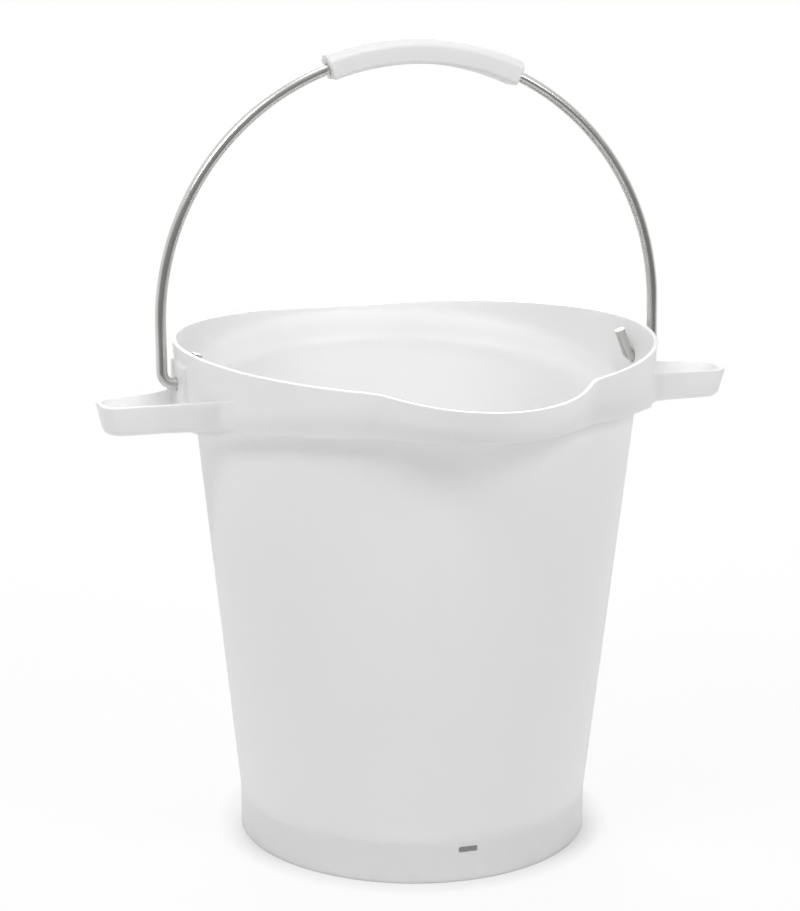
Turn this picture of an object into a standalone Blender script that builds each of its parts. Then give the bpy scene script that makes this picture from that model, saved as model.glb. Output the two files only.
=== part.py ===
"""Plastic bucket with a pouring spout, two side handles and a wire bail with a moulded grip.

Metres, +Z up, standing on Z = 0. The spout points to -Y and the side handles lie along X.
"""

from math import atan2, cos, pi, radians, sin, sqrt, tan

import bmesh
import bpy
from mathutils import Vector

# Body and foot
FOOT_RADIUS = 0.1327
FOOT_HEIGHT = 0.029
FOOT_EDGE_ROUND = 0.0009
FOOT_BLEND = 0.014
WALL = 0.003
FLOOR_HEIGHT = 0.031
FLOOR_THICKNESS = 0.003
FLOOR_FILLET = 0.010

# Drain slots through the foot, front and back
SLOT_WIDTH = 0.0145
SLOT_HEIGHT = 0.0047
SLOT_CENTRE_HEIGHT = 0.0245

# The pivot axis of the bail: the collar, brim, handles and pads all take their heights from it
PIVOT_HEIGHT = 0.3555

# Collar: the wide band under the brim, whose lower edge drops towards the side handles
COLLAR_WALL = 0.0026
COLLAR_LOW_RADIUS = 0.177
COLLAR_OVERHANG = 0.0119
COLLAR_BELOW_PIVOT = 0.0215
COLLAR_LOW_RISE = 0.0118
COLLAR_DROP = 0.0122
COLLAR_DROP_HALF_ANGLE = radians(42)
COLLAR_EDGE_ROUND = 0.002
SHOULDER_RISE = 0.009
SHOULDER_FLARE = 0.75
SHOULDER_FILLET = 0.020

# Brim: highest over the side handles, lower at the front and the back
BRIM_RADIUS = 0.180
BRIM_ABOVE_PIVOT = 0.0265
BRIM_SAG = 0.008
BRIM_ROUND = 0.0011
BACK_DIP = 0.002
BACK_DIP_HALF_ANGLE = radians(30)

# Spout
SPOUT_REACH = 0.0386
SPOUT_LOW_REACH = 0.0291
SPOUT_DIP = 0.0042
SPOUT_HALF_ANGLE = radians(25.7)
SPOUT_SOFTNESS = 0.12

# Side handles: open-topped dishes that flow into the collar, set a little ahead of the pivot axis
HANDLE_TIP = 0.2425
HANDLE_HALF_WIDTH = 0.019
HANDLE_FORWARD = 0.0155
HANDLE_BELOW_PIVOT = 0.0077
HANDLE_DEPTH = 0.0225
HANDLE_TIP_ROUND = 0.014
HANDLE_DRAFT = 0.003
HANDLE_EDGE_ROUND = 0.006
HANDLE_FRONT_ROOT = radians(30)
HANDLE_BACK_ROOT = radians(18)
HANDLE_ROOT_REACH = 0.011
HANDLE_ROOT_FLARE = 0.006
HANDLE_ROOT_FILLET = 0.055
HANDLE_ROOT_RISE = 0.0125
HANDLE_LOW_RISE = 0.011
HANDLE_BACK_SHARE = 0.35
DISH_WALL = 0.0032
DISH_FLOOR = 0.0035
DISH_FILLET = 0.004

# Pivot pads on the collar
PAD_HALF_WIDTH = 0.0188
PAD_ABOVE_PIVOT = 0.0155
PAD_PROUD = 0.003
PAD_ROUND = 0.0015
PIVOT_CLEARANCE = 0.0007

# Bail wire: a half circle on straight legs, hooked through the pads
WIRE_RADIUS = 0.004
LEG_CLEARANCE = 0.0063
BAIL_ARC_RISE = 0.0415
BAIL_BEND = 0.009
HOOK_BEND = 0.006
HOOK_SETBACK = 0.0032
HOOK_LENGTH = 0.0222
HOOK_LEAN = radians(20)
BAIL_LEAN = radians(3)

# Grip on the bail, measured along the wire
GRIP_LENGTH = 0.1485
GRIP_SHIFT = 0.010
GRIP_DEPTH = 0.025
GRIP_BELOW = 0.0082
GRIP_SIDE = 0.0062
GRIP_CROWN = 0.0123
GRIP_ROUND = 0.003
GRIP_CROWN_ROUND = 0.020
GRIP_CLEARANCE = 0.0003

# Facets
COLUMNS = 72
ARC_STEPS = 3
ROOT_STEPS = 5
WIRE_ARC_STEPS = 48
GRIP_STEPS = 14
BORE_SIDES = 24

# Sizes that follow from those above
BODY_TOP_RADIUS = COLLAR_LOW_RADIUS - COLLAR_OVERHANG
COLLAR_LOW_HEIGHT = PIVOT_HEIGHT - COLLAR_BELOW_PIVOT
BRIM_HEIGHT = PIVOT_HEIGHT + BRIM_ABOVE_PIVOT
HANDLE_TOP = PIVOT_HEIGHT - HANDLE_BELOW_PIVOT
HANDLE_LOW = HANDLE_TOP - HANDLE_DEPTH
HANDLE_FRONT = -HANDLE_FORWARD - HANDLE_HALF_WIDTH
HANDLE_BACK = -HANDLE_FORWARD + HANDLE_HALF_WIDTH
PAD_TOP = PIVOT_HEIGHT + PAD_ABOVE_PIVOT

# The box around the whole bucket is centred on the origin, so the spout pushes the axis back.
AXIS_Y = SPOUT_REACH / 2


def bell(angle, half_angle):
    """Smooth hump: 1 at angle 0, falling to 0 at the half angle and beyond."""
    return cos(pi / 2 * min(abs(angle) / half_angle, 1)) ** 2


def spout_share(turn):
    """Share of the spout's full reach at a turn from its centre line, with softened flanks."""
    swing = cos(pi / 2 * min(abs(turn) / SPOUT_HALF_ANGLE, 2))
    soft = sqrt(swing ** 2 + SPOUT_SOFTNESS ** 2)
    return (1 + swing + soft - sqrt(1 + SPOUT_SOFTNESS ** 2)) / 2


def brim_height(turn):
    """Height of the brim at a turn from the spout."""
    back = BACK_DIP * bell(pi - abs(turn), BACK_DIP_HALF_ANGLE)
    return BRIM_HEIGHT - BRIM_SAG * cos(turn) ** 2 - back - SPOUT_DIP * spout_share(turn)


def collar_low(turn):
    """Height of the collar's lower edge at a turn from the spout."""
    drop = COLLAR_DROP * bell(pi / 2 - abs(turn), COLLAR_DROP_HALF_ANGLE)
    return COLLAR_LOW_HEIGHT + COLLAR_LOW_RISE * cos(turn) ** 2 - drop


def body_radius(height):
    """Outer radius of the tapered body."""
    share = (height - FOOT_HEIGHT) / (COLLAR_LOW_HEIGHT - FOOT_HEIGHT)
    return FOOT_RADIUS + (BODY_TOP_RADIUS - FOOT_RADIUS) * share


def collar_radius(height, turn):
    """Outer radius of the collar between its lower edge and the brim."""
    share = spout_share(turn)
    low = COLLAR_LOW_RADIUS + SPOUT_LOW_REACH * share
    top = BRIM_RADIUS + SPOUT_REACH * share
    along = (height - collar_low(turn)) / (brim_height(turn) - collar_low(turn))
    return low + (top - low) * along


def pad_face():
    """Distance of each pivot pad's outer face from the bucket's axis."""
    return collar_radius(PIVOT_HEIGHT, pi / 2) + PAD_PROUD


def bail_radius():
    """Radius of the bail's arc, whose legs pass clear of the pads."""
    return pad_face() + LEG_CLEARANCE + WIRE_RADIUS


def rounded(corners, steps, closed=False):
    """Outline through corners (a, b, radius), each rounded with an arc of so many steps."""
    points = []
    count = len(corners)
    for i, (a, b, radius) in enumerate(corners):
        corner = Vector((a, b))
        if radius == 0 or (not closed and i in (0, count - 1)):
            points.append(corner)
            continue
        before = Vector(corners[i - 1][:2]) - corner
        after = Vector(corners[(i + 1) % count][:2]) - corner
        half = before.angle(after) / 2
        reach = min(radius / tan(half), 0.45 * before.length, 0.45 * after.length)
        centre = corner + (before.normalized() + after.normalized()).normalized() * reach / cos(half)
        start = corner + before.normalized() * reach - centre
        end = corner + after.normalized() * reach - centre
        sweep = pi - 2 * half
        for k in range(steps + 1):
            from_start = sin(sweep * (1 - k / steps)) / sin(sweep)
            from_end = sin(sweep * k / steps) / sin(sweep)
            points.append(centre + start * from_start + end * from_end)
    return points


def loft(rings):
    """Closed mesh through rings of equal point count, with a cap on the first and last."""
    mesh = bmesh.new()
    rows = [[mesh.verts.new(point) for point in ring] for ring in rings]
    for row, next_row in zip(rows, rows[1:]):
        for i, vert in enumerate(row):
            j = (i + 1) % len(row)
            mesh.faces.new((vert, row[j], next_row[j], next_row[i]))
    mesh.faces.new(rows[0])
    mesh.faces.new(rows[-1])
    bmesh.ops.recalc_face_normals(mesh, faces=mesh.faces)
    return mesh


def box(low, high):
    """Box between two corners."""
    mesh = bmesh.new()
    bmesh.ops.create_cube(mesh, size=1)
    size = Vector(high) - Vector(low)
    bmesh.ops.scale(mesh, vec=size, verts=mesh.verts)
    bmesh.ops.translate(mesh, vec=Vector(low) + size / 2, verts=mesh.verts)
    return mesh


def spin(outline, radius, centre_height, from_angle, to_angle, steps):
    """Solid from an outline (out from the arc, along Y) carried round an arc about the Y axis.

    Angles run from straight up towards +X.
    """
    mesh = bmesh.new()
    verts = []
    for out, along in outline:
        away = radius + out
        verts.append(mesh.verts.new((away * sin(from_angle), along, centre_height + away * cos(from_angle))))
    face = mesh.faces.new(verts)
    bmesh.ops.spin(mesh, geom=[face, *face.edges, *face.verts], cent=(0, 0, centre_height), axis=(0, 1, 0),
                   angle=to_angle - from_angle, steps=steps)
    bmesh.ops.recalc_face_normals(mesh, faces=mesh.faces)
    return mesh


def material(name, colour, roughness, metallic):
    """Principled material of one colour."""
    made = bpy.data.materials.new(name)
    made.use_nodes = True
    shader = made.node_tree.nodes["Principled BSDF"]
    shader.inputs["Base Color"].default_value = (*colour, 1)
    shader.inputs["Roughness"].default_value = roughness
    shader.inputs["Metallic"].default_value = metallic
    return made


def add_object(name, mesh, collection, finish=None):
    """Object from a bmesh, shaded smooth between faces that meet at a low angle."""
    data = bpy.data.meshes.new(name)
    mesh.to_mesh(data)
    mesh.free()
    data.shade_smooth()
    data.set_sharp_from_angle(angle=radians(35))
    made = bpy.data.objects.new(name, data)
    collection.objects.link(made)
    if finish:
        data.materials.append(finish)
    return made


def add_tool(name, mesh, collection, target, operation):
    """Hidden helper solid that a Boolean joins to its target or cuts from it."""
    tool = add_object(name, mesh, collection)
    tool.parent = target
    tool.hide_render = True
    tool.display_type = "WIRE"
    boolean = target.modifiers.new(name, "BOOLEAN")
    boolean.operation = operation
    boolean.solver = "EXACT"
    boolean.object = tool
    return tool


def bucket_section(turn):
    """Half section of the bucket at a turn from the spout: inside, over the brim, outside, underside.

    The inside widens to the collar over a ledge at the handles and the spout, and over a flare elsewhere.
    """
    share = spout_share(turn)
    low = collar_low(turn)
    brim = brim_height(turn)
    brim_radius = BRIM_RADIUS + SPOUT_REACH * share
    shoulder_start = low + WALL * (0.3 + share)
    ledge = low + SHOULDER_RISE
    shoulder_end = ledge + SHOULDER_FLARE * cos(turn) ** 2 * (1 - share) * (brim - ledge)
    floor_top = FLOOR_HEIGHT + FLOOR_THICKNESS
    corners = (
        (body_radius(floor_top) - WALL - FLOOR_FILLET, floor_top, 0),
        (body_radius(floor_top) - WALL, floor_top, FLOOR_FILLET),
        (body_radius(shoulder_start) - WALL, shoulder_start, SHOULDER_FILLET),
        (collar_radius(shoulder_end, turn) - COLLAR_WALL, shoulder_end, SHOULDER_FILLET),
        (brim_radius - COLLAR_WALL, brim, BRIM_ROUND),
        (brim_radius, brim, BRIM_ROUND),
        (collar_radius(low, turn), low, COLLAR_EDGE_ROUND),
        (body_radius(low), low + WALL * 0.3, COLLAR_EDGE_ROUND),
        (FOOT_RADIUS, FOOT_HEIGHT, FOOT_BLEND),
        (FOOT_RADIUS, 0, FOOT_EDGE_ROUND),
        (FOOT_RADIUS - WALL, 0, FOOT_EDGE_ROUND),
        (FOOT_RADIUS - WALL, FLOOR_HEIGHT, 0),
    )
    return rounded(corners, ARC_STEPS)


def bucket_body():
    """The moulding without its handles: unlike sections, lofted round the axis."""
    turns = [2 * pi * i / COLUMNS for i in range(COLUMNS)]
    turns = [turn - 2 * pi if turn > pi else turn for turn in turns]
    sections = [bucket_section(turn) for turn in turns]
    rings = []
    for k in range(len(sections[0])):
        ring = []
        for turn, section in zip(turns, sections):
            radius, height = section[k]
            ring.append((radius * sin(turn), -radius * cos(turn), height))
        rings.append(ring)
    return loft(rings)


def handle_outline(height, climb, inset, sink):
    """Plan of the +X handle's edge at one level, drawn in by an inset, from front root to tip to back root."""
    front_root = collar_radius(height + climb, pi / 2 - HANDLE_FRONT_ROOT) - sink
    back_root = collar_radius(height + climb * HANDLE_BACK_SHARE, pi / 2 - HANDLE_BACK_ROOT) - sink
    root_x = COLLAR_LOW_RADIUS + HANDLE_ROOT_REACH
    front = HANDLE_FRONT + inset
    back = HANDLE_BACK - inset
    corners = (
        (front_root * cos(HANDLE_FRONT_ROOT), -front_root * sin(HANDLE_FRONT_ROOT), 0),
        (root_x - inset / 2, front - HANDLE_ROOT_FLARE, HANDLE_ROOT_FILLET),
        (HANDLE_TIP - inset, front, HANDLE_TIP_ROUND),
        (HANDLE_TIP - inset, back, HANDLE_TIP_ROUND),
        (root_x - inset, back + HANDLE_ROOT_FLARE, HANDLE_ROOT_FILLET),
        (back_root * cos(HANDLE_BACK_ROOT), back_root * sin(HANDLE_BACK_ROOT), 0),
    )
    points = rounded(corners, 2 * ARC_STEPS)
    front_run = [points[0].lerp(points[1], k / ROOT_STEPS) for k in range(ROOT_STEPS)]
    back_run = [points[-2].lerp(points[-1], k / ROOT_STEPS) for k in range(1, ROOT_STEPS + 1)]
    return front_run + points[1:-1] + back_run


def root_share(y):
    """How far a handle's edges have climbed to its roots: 0 along the handle, 1 at the front root."""
    front_seat = -COLLAR_LOW_RADIUS * sin(HANDLE_FRONT_ROOT)
    back_seat = COLLAR_LOW_RADIUS * sin(HANDLE_BACK_ROOT)
    ahead = (HANDLE_FRONT - y) / (HANDLE_FRONT - front_seat)
    behind = HANDLE_BACK_SHARE * (y - HANDLE_BACK) / (back_seat - HANDLE_BACK)
    return min(max(ahead, behind, 0), 1)


def handle_solid(side, levels, sink):
    """Upright sections carried round a handle's plan, through levels (height, climb to the roots, inset).

    The roots end inside the collar's surface by the sink, and the inner face lies a little deeper.
    """
    outlines = [handle_outline(*level, sink) for level in levels]
    sections = []
    for edge in zip(*outlines):
        seat_y = edge[1].y
        share = root_share(seat_y)
        turn = pi / 2 - atan2(abs(seat_y), COLLAR_LOW_RADIUS)
        section = []
        for (x, y), (height, climb, inset) in zip(edge, levels):
            section.append((side * x, y, height + climb * share))
        for height, climb, inset in (levels[-1], levels[0]):
            seat = collar_radius(height + climb * share, turn) - sink - COLLAR_WALL / 3
            section.append((side * sqrt(seat ** 2 - seat_y ** 2), seat_y, height + climb * share))
        sections.append(section)
    return loft(sections)


def side_handle(side):
    """Solid side handle, rooted in the collar wall."""
    levels = (
        (HANDLE_TOP, HANDLE_ROOT_RISE, BRIM_ROUND),
        (HANDLE_TOP - BRIM_ROUND, HANDLE_ROOT_RISE, 0),
        (HANDLE_LOW + HANDLE_EDGE_ROUND, HANDLE_LOW_RISE, HANDLE_DRAFT),
        (HANDLE_LOW + HANDLE_EDGE_ROUND * 0.3, HANDLE_LOW_RISE, HANDLE_DRAFT + HANDLE_EDGE_ROUND * 0.3),
        (HANDLE_LOW, HANDLE_LOW_RISE, HANDLE_DRAFT + HANDLE_EDGE_ROUND),
    )
    return handle_solid(side, levels, COLLAR_WALL / 4)


def handle_dish(side):
    """Cutter that hollows a side handle from above, down to its floor."""
    floor = HANDLE_LOW + DISH_FLOOR
    wall = DISH_WALL + HANDLE_DRAFT
    levels = (
        (HANDLE_TOP + BRIM_ROUND, HANDLE_ROOT_RISE, DISH_WALL - BRIM_ROUND),
        (HANDLE_TOP - BRIM_ROUND, HANDLE_ROOT_RISE, DISH_WALL),
        (floor + DISH_FILLET, HANDLE_LOW_RISE, wall),
        (floor + DISH_FILLET * 0.3, HANDLE_LOW_RISE, wall + DISH_FILLET * 0.3),
        (floor, HANDLE_LOW_RISE, wall + DISH_FILLET),
    )
    return handle_solid(side, levels, COLLAR_WALL / 4 + DISH_WALL)


def pivot_pad(side):
    """Thick pad on the collar that carries one end of the bail."""
    wall_middle = pad_face() - PAD_PROUD - COLLAR_WALL / 2
    inner = sqrt(wall_middle ** 2 - PAD_HALF_WIDTH ** 2)
    ends = sorted((side * inner, side * pad_face()))
    low = HANDLE_LOW + DISH_FLOOR / 2
    return box((ends[0], -PAD_HALF_WIDTH, low), (ends[1], PAD_HALF_WIDTH, PAD_TOP))


def pivot_bore():
    """Cutter along the pivot axis, through both pads."""
    mesh = bmesh.new()
    radius = WIRE_RADIUS + PIVOT_CLEARANCE
    bmesh.ops.create_cone(mesh, cap_ends=True, segments=BORE_SIDES, radius1=radius, radius2=radius,
                          depth=2 * (pad_face() + PAD_PROUD))
    for vert in mesh.verts:
        x, y, z = vert.co
        vert.co = (z, x, PIVOT_HEIGHT + y)
    bmesh.ops.recalc_face_normals(mesh, faces=mesh.faces)
    return mesh


def bail_path():
    """Centre line of the bail in its own plane, (X, height above the pivot), from hook to hook."""
    hook = pad_face() - PAD_PROUD - COLLAR_WALL - HOOK_SETBACK
    radius = bail_radius()
    half = rounded((
        (hook - HOOK_LENGTH * sin(HOOK_LEAN), HOOK_LENGTH * cos(HOOK_LEAN), 0),
        (hook, 0, HOOK_BEND),
        (radius, 0, BAIL_BEND),
        (radius, BAIL_ARC_RISE, 0),
    ), 2 * ARC_STEPS)
    path = [(x, z) for x, z in half]
    for k in range(1, WIRE_ARC_STEPS):
        angle = pi * k / WIRE_ARC_STEPS
        path.append((radius * cos(angle), BAIL_ARC_RISE + radius * sin(angle)))
    path.extend((-x, z) for x, z in reversed(half))
    return path


def bail_wire(collection, finish):
    """Bent wire: a round curve along the bail's centre line, made into a mesh."""
    curve = bpy.data.curves.new("bail_wire", "CURVE")
    curve.dimensions = "3D"
    curve.bevel_depth = WIRE_RADIUS
    curve.bevel_resolution = 4
    curve.use_fill_caps = True
    path = bail_path()
    spline = curve.splines.new("POLY")
    spline.points.add(len(path) - 1)
    for point, (x, z) in zip(spline.points, path):
        point.co = (x, 0, z, 1)
    guide = bpy.data.objects.new("bail_wire_line", curve)
    collection.objects.link(guide)
    evaluated = guide.evaluated_get(bpy.context.evaluated_depsgraph_get())
    mesh = bmesh.new()
    mesh.from_mesh(bpy.data.meshes.new_from_object(evaluated))
    bmesh.ops.remove_doubles(mesh, verts=mesh.verts, dist=0.00001)
    bmesh.ops.recalc_face_normals(mesh, faces=mesh.faces)
    bpy.data.objects.remove(guide)
    return add_object("bail_wire", mesh, collection, finish)


def grip_outline():
    """Section of the grip: flat underside and sides under a crowned top."""
    half = GRIP_DEPTH / 2
    corners = (
        (-GRIP_BELOW, -half, GRIP_ROUND),
        (-GRIP_BELOW, half, GRIP_ROUND),
        (GRIP_SIDE, half, GRIP_ROUND),
        (GRIP_CROWN, 0, GRIP_CROWN_ROUND),
        (GRIP_SIDE, -half, GRIP_ROUND),
    )
    return rounded(corners, ARC_STEPS, closed=True)


def bail_grip(collection, tools, finish):
    """Grip moulded round the top of the bail, with a clear way for the wire."""
    radius = bail_radius()
    start = (GRIP_SHIFT - GRIP_LENGTH / 2) / radius
    end = (GRIP_SHIFT + GRIP_LENGTH / 2) / radius
    solid = spin(grip_outline(), radius, BAIL_ARC_RISE, start, end, GRIP_STEPS)
    grip = add_object("bail_grip", solid, collection, finish)
    bore = WIRE_RADIUS + GRIP_CLEARANCE
    angles = [2 * pi * k / BORE_SIDES for k in range(BORE_SIDES)]
    ring = [(bore * cos(angle), bore * sin(angle)) for angle in angles]
    margin = GRIP_ROUND / radius
    way = spin(ring, radius, BAIL_ARC_RISE, start - margin, end + margin, 2 * GRIP_STEPS)
    add_tool("grip_wire_way", way, tools, grip, "DIFFERENCE")
    return grip


def build():
    for old in list(bpy.data.objects):
        bpy.data.objects.remove(old)
    parts = bpy.data.collections.new("plastic_bucket")
    tools = bpy.data.collections.new("plastic_bucket_tools")
    for group in (parts, tools):
        bpy.context.scene.collection.children.link(group)

    white = material("white_polypropylene", (0.80, 0.80, 0.80), 0.38, 0)
    steel = material("stainless_steel", (0.55, 0.55, 0.54), 0.25, 1)
    grip_white = material("white_grip", (0.84, 0.84, 0.84), 0.45, 0)

    shell = add_object("bucket_shell", bucket_body(), parts, white)
    shell.location = (0, AXIS_Y, 0)
    for side, name in ((-1, "left"), (1, "right")):
        handle = add_tool("side_handle_" + name, side_handle(side), tools, shell, "UNION")
        add_tool("handle_dish_" + name, handle_dish(side), tools, handle, "DIFFERENCE")
        pad = add_tool("pivot_pad_" + name, pivot_pad(side), tools, handle, "UNION")
        bevel = pad.modifiers.new("round", "BEVEL")
        bevel.width = PAD_ROUND
        bevel.segments = 2
    add_tool("pivot_bore", pivot_bore(), tools, shell, "DIFFERENCE")
    slot_low = SLOT_CENTRE_HEIGHT - SLOT_HEIGHT / 2
    slots = box((-SLOT_WIDTH / 2, -2 * FOOT_RADIUS, slot_low),
                (SLOT_WIDTH / 2, 2 * FOOT_RADIUS, slot_low + SLOT_HEIGHT))
    add_tool("drain_slots", slots, tools, shell, "DIFFERENCE")

    pivot = bpy.data.objects.new("bail_pivot", None)
    pivot.location = (0, AXIS_Y, PIVOT_HEIGHT)
    pivot.rotation_euler = (-BAIL_LEAN, 0, 0)
    parts.objects.link(pivot)
    wire = bail_wire(parts, steel)
    wire.parent = pivot
    grip = bail_grip(parts, tools, grip_white)
    grip.parent = pivot


build()
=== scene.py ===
"""Looks of the plastic bucket: a satin white moulding, a drawn steel bail and its moulded grip.

Metres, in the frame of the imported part: +Z up, the spout towards -Y, the side handles along X.
"""

from math import atan2, cos, pi, radians, sin, sqrt, tan
from types import SimpleNamespace

import bmesh
import bpy
from mathutils import Matrix, Vector


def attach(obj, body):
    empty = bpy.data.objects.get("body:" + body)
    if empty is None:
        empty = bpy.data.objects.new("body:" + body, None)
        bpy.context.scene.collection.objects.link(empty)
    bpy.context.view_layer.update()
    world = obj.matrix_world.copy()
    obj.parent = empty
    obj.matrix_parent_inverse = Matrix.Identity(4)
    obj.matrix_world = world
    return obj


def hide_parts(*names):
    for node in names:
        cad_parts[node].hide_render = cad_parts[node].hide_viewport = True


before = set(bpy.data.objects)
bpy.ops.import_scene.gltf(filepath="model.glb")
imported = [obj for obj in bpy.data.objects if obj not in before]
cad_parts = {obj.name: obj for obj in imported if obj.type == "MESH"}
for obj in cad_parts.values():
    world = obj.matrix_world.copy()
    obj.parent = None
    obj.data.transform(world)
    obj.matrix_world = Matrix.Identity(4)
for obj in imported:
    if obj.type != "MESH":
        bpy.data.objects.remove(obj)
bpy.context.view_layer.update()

# Sizes of the moulding, each a named input of its geometry tree
BUCKET = {
    "foot_radius": 0.1327,
    "foot_height": 0.029,
    "foot_edge_round": 0.0009,
    "foot_blend": 0.014,
    "wall": 0.003,
    "floor_height": 0.031,
    "floor_thickness": 0.003,
    "floor_fillet": 0.010,
    "body_top_radius": 0.1651,
    "collar_wall": 0.0026,
    "collar_low_radius": 0.177,
    "collar_low_height": 0.334,
    "collar_low_rise": 0.0118,
    "collar_drop": 0.0122,
    "collar_drop_half_angle": radians(42),
    "collar_edge_round": 0.002,
    "shoulder_rise": 0.009,
    "shoulder_flare": 0.75,
    "shoulder_fillet": 0.020,
    "brim_radius": 0.180,
    "brim_height": 0.382,
    "brim_sag": 0.008,
    "brim_round": 0.0011,
    "back_dip": 0.002,
    "back_dip_half_angle": radians(30),
    "spout_reach": 0.0386,
    "spout_low_reach": 0.0291,
    "spout_dip": 0.0042,
    "spout_half_angle": radians(25.7),
    "spout_softness": 0.12,
}
PLAIN = SimpleNamespace(**BUCKET)
AXIS_Y = PLAIN.spout_reach / 2
PIVOT = Vector((0, AXIS_Y, 0.3555))
COLUMNS = 240
FILLET_STEPS = 6
SEAM_MERGE = 0.00002
STEP_RISE = 0.3
ROUND_LIMIT = 0.45
MOULDING_SHARP = radians(38)

# Support points beside the corners of the half section, as a share of each run
RUN_SUPPORT = 0.06
SHOULDER_SUPPORT = 0.45
SHOULDER_RUNS = (2, 3)

# Side handles: open-topped dishes, their plan measured from the bucket's axis
HANDLE_TIP = 0.2425
HANDLE_FRONT = -0.0345
HANDLE_BACK = 0.0035
HANDLE_TOP = PIVOT.z - 0.0077
HANDLE_LOW = HANDLE_TOP - 0.0225
HANDLE_TIP_ROUND = 0.014
HANDLE_DRAFT = 0.003
HANDLE_EDGE_ROUND = 0.006
HANDLE_FRONT_ROOT = radians(30)
HANDLE_BACK_ROOT = radians(18)
HANDLE_ROOT_REACH = 0.011
HANDLE_ROOT_FLARE = 0.006
HANDLE_ROOT_FILLET = 0.055
HANDLE_ROOT_RISE = 0.0125
HANDLE_LOW_RISE = 0.011
HANDLE_BACK_SHARE = 0.35
HANDLE_STEPS = 14
HANDLE_RIM_STEPS = 4
HANDLE_EDGE_STEPS = 8
HANDLE_SINK = PLAIN.collar_wall / 4
ROOT_STEPS = 16
SEAT_SINK = PLAIN.collar_wall / 3
CLIMB_LEVEL = 3
DISH_WALL = 0.0032
DISH_FLOOR = 0.0035
DISH_FILLET = 0.004
DISH_STEPS = 6

# Pivot pads and drain slots
PAD_HALF_WIDTH = 0.0188
PAD_TOP = PIVOT.z + 0.0155
PAD_PROUD = 0.003
PAD_ROUND = 0.0015
PAD_STEPS = 4
PIVOT_CLEARANCE = 0.0007
BORE_SIDES = 48
SLOT_WIDTH = 0.0145
SLOT_HEIGHT = 0.0047
SLOT_CENTRE_HEIGHT = 0.0245
SLOT_CORNER = 0.0014
SLOT_STEPS = 5

# Bail and grip
WIRE_RADIUS = 0.004
WIRE_SIDES = 32
WIRE_CUT_ROUND = 0.0006
WIRE_SHARP = radians(50)
LEG_CLEARANCE = 0.0063
BAIL_ARC_RISE = 0.0415
BAIL_BEND = 0.009
HOOK_BEND = 0.006
HOOK_SETBACK = 0.0032
HOOK_LENGTH = 0.0222
HOOK_LEAN = radians(20)
BAIL_LEAN = radians(3)
BAIL_STEPS = 144
BEND_STEPS = 12
END_STEPS = 4
GRIP_LENGTH = 0.1485
GRIP_SHIFT = 0.010
GRIP_DEPTH = 0.025
GRIP_BELOW = 0.0082
GRIP_SIDE = 0.0062
GRIP_CROWN = 0.0123
GRIP_ROUND = 0.003
GRIP_CROWN_ROUND = 0.020
GRIP_CLEARANCE = 0.0003
GRIP_END_ROUND = 0.0010
GRIP_STEPS = 60
GRIP_ROUND_STEPS = 8
GRIP_SHARP = radians(40)

# Camera: the photograph's viewpoint about the bucket's axis
LENS = 97.06
SENSOR_WIDTH = 36
VIEW_END = 50
CAMERA_DISTANCE = 1.7968
CAMERA_HEIGHT = 0.7323
CAMERA_TURN = 0.3106
CAMERA_TILT = 0.242
CAMERA_ROLL = 0.0045
CAMERA_ASIDE = 0.01055

# Values between which nearly all of a noise lies
NOISE_LOW = 0.3
NOISE_HIGH = 0.7

# White plastic: its tone, how deep light spreads in it, its flow streaks, and near the foot painted shade
# in patches, with the gloss dulled there as if scuffed
PLASTIC_TONE = 0.945
PLASTIC_SWING = 0.006
PLASTIC_IOR = 1.49
MOULDING_ROUGHNESS = 0.40
GRIP_ROUGHNESS = 0.46
LIGHT_DEPTH = 0.004
CLOUD_SCALE = 9.0
FLOW_STRETCH = (34.0, 34.0, 3.0)
# Painted shade at the foot: height, patch scale and spread of the darker patches, which also dull the
# gloss; then how much darker they are
SHADE_AND_SCUFF_HEIGHT = 0.035
SHADE_AND_SCUFF_SCALE = 70.0
SHADE_AND_SCUFF_SPREAD = (0.35, 0.75)
FOOT_SHADE_TONE = 0.05
SCUFF_DULLING = 0.15
GRAIN_SCALE = 900.0
GRAIN_SWING = 0.04
GRAIN_STRENGTH = 0.05
GRAIN_DEPTH = 0.0002

# Steel: its tones and gloss, and the draw lines
STEEL_DARK = (0.57, 0.57, 0.56, 1.0)
STEEL_LIGHT = (0.63, 0.63, 0.62, 1.0)
STEEL_GLOSS = (0.22, 0.32)
PATCH_SCALE = 45.0
LINES_ROUND = 14.0
LINES_ALONG = 5.0
LINE_STRENGTH = 0.03
LINE_DEPTH = 0.0001

# Studio: the white paper and where it ends in front, the dark room, and the floor's glow about the bucket
FLOOR_HALF = 8
PAPER_FRONT = 0.9
PAPER_FADE = 0.15
PAPER_TONE = 0.9
PAPER_ROUGHNESS = 0.9
ROOM_TONE = 0.32
ROOM_FRONT = (-0.5, 0.0)
ROOM_TOP = (0.5, 0.8)
UNDER_GLOW = 0.2
SHADOW_GLOW = 0.86
SHADOW_EDGE = 0.02
FULL_GLOW = (0.3, 1.1)
SURROUND_LIGHT = 0.40

# Softboxes: name, place, spot that it points at, side of its square, power in watts
SOFTBOXES = (
    ("left_softbox", (-1.15, -0.67, 1.8), (0, 0, 0.3), 0.6, 11.7),
    ("right_softbox", (0.85, -1.35, 1.4), (0, 0, 0.3), 0.6, 7.9),
    ("overhead_softbox", (-0.1, -0.25, 2.4), (0, 0, 0.3), 0.6, 5.2),
    ("back_softbox", (0.35, 1.5, 1.0), (0, 0.1, 0.3), 0.8, 12),
)


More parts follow.
